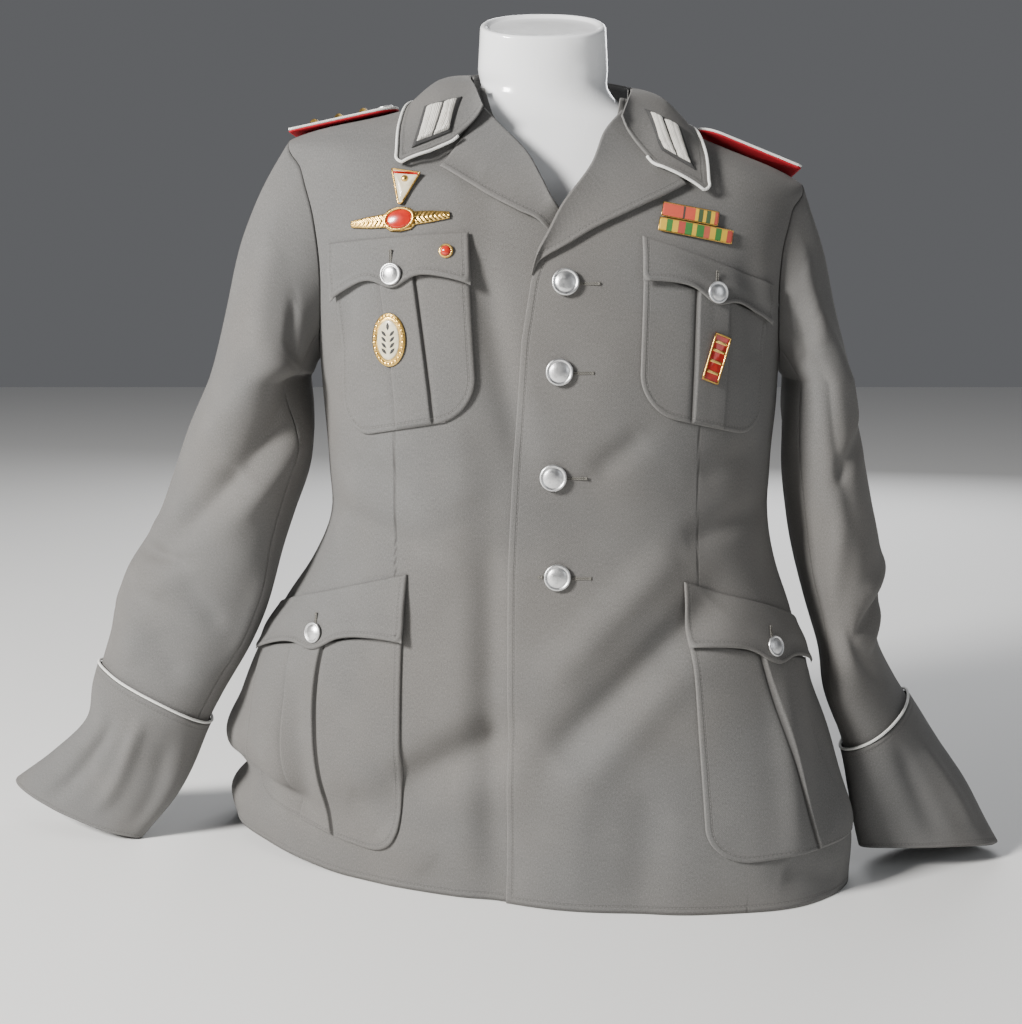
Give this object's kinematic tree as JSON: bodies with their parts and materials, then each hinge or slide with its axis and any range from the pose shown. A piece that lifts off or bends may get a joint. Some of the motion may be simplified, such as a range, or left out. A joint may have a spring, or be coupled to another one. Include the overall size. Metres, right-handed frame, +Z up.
{
  "type": "military officer uniform jacket on a limbless dress form",
  "caption": "A stone-grey single-breasted officer's tunic with patch pockets, piped collar and cuffs, shoulder boards and pins, worn by a glossy white limbless torso form",
  "frame": {"origin": "centre of the form's flat underside, on the surface that it stands on", "axes": "+Z up, the front faces -Y, +X is the wearer's left across the sleeves"},
  "size_m": [0.9889, 0.3469, 0.794],
  "materials": {
    "cloth": "fine stone-grey twill with a soft matt surface",
    "white_piping": "white cord",
    "dark_felt": "dark grey felt",
    "silver_braid": "ribbed silver-white braid",
    "red_felt": "dark red felt",
    "ribbon": "striped red, yellow and green ribbon",
    "matt_silver": "matt silver stamped metal",
    "gilt": "bright gilt",
    "cream_enamel": "cream enamel on gilt",
    "red_enamel": "red enamel on gilt",
    "white_plastic": "glossy white moulded plastic"
  },
  "bodies": {
    "root": {"collar_fall": "cloth", "collar_stand": "cloth", "front_button_1": "matt_silver", "front_button_2": "matt_silver", "front_button_3": "matt_silver", "front_button_4": "matt_silver", "left_back": "cloth", "left_board_braid": "silver_braid", "left_board_button": "matt_silver", "left_board_felt": "red_felt", "left_chest_flap": "cloth", "left_chest_flap_button": "matt_silver", "left_chest_pocket": "cloth", "left_collar_bar_1": "silver_braid", "left_collar_bar_2": "silver_braid", "left_collar_patch": "dark_felt", "left_collar_piping": "white_piping", "left_cuff": "cloth", "left_cuff_piping": "white_piping", "left_front": "cloth", "left_lapel": "cloth", "left_pip_1": "gilt", "left_pip_2": "gilt", "left_pip_3": "gilt", "left_skirt_flap": "cloth", "left_skirt_flap_button": "matt_silver", "left_skirt_pocket": "cloth", "left_top_sleeve": "cloth", "left_under_sleeve": "cloth", "oval_badge": "gilt", "red_plaque": "red_enamel", "ribbon_bar_lower": "ribbon", "ribbon_bar_upper": "ribbon", "right_back": "cloth", "right_board_braid": "silver_braid", "right_board_button": "matt_silver", "right_board_felt": "red_felt", "right_chest_flap": "cloth", "right_chest_flap_button": "matt_silver", "right_chest_pocket": "cloth", "right_collar_bar_1": "silver_braid", "right_collar_bar_2": "silver_braid", "right_collar_patch": "dark_felt", "right_collar_piping": "white_piping", "right_cuff": "cloth", "right_cuff_piping": "white_piping", "right_front": "cloth", "right_lapel": "cloth", "right_pip_1": "gilt", "right_pip_2": "gilt", "right_pip_3": "gilt", "right_skirt_flap": "cloth", "right_skirt_flap_button": "matt_silver", "right_skirt_pocket": "cloth", "right_top_sleeve": "cloth", "right_under_sleeve": "cloth", "small_pin": "gilt", "torso_form": "white_plastic", "triangle_pin": "cream_enamel", "wing_clasp": "gilt"}
  },
  "joints": []
}
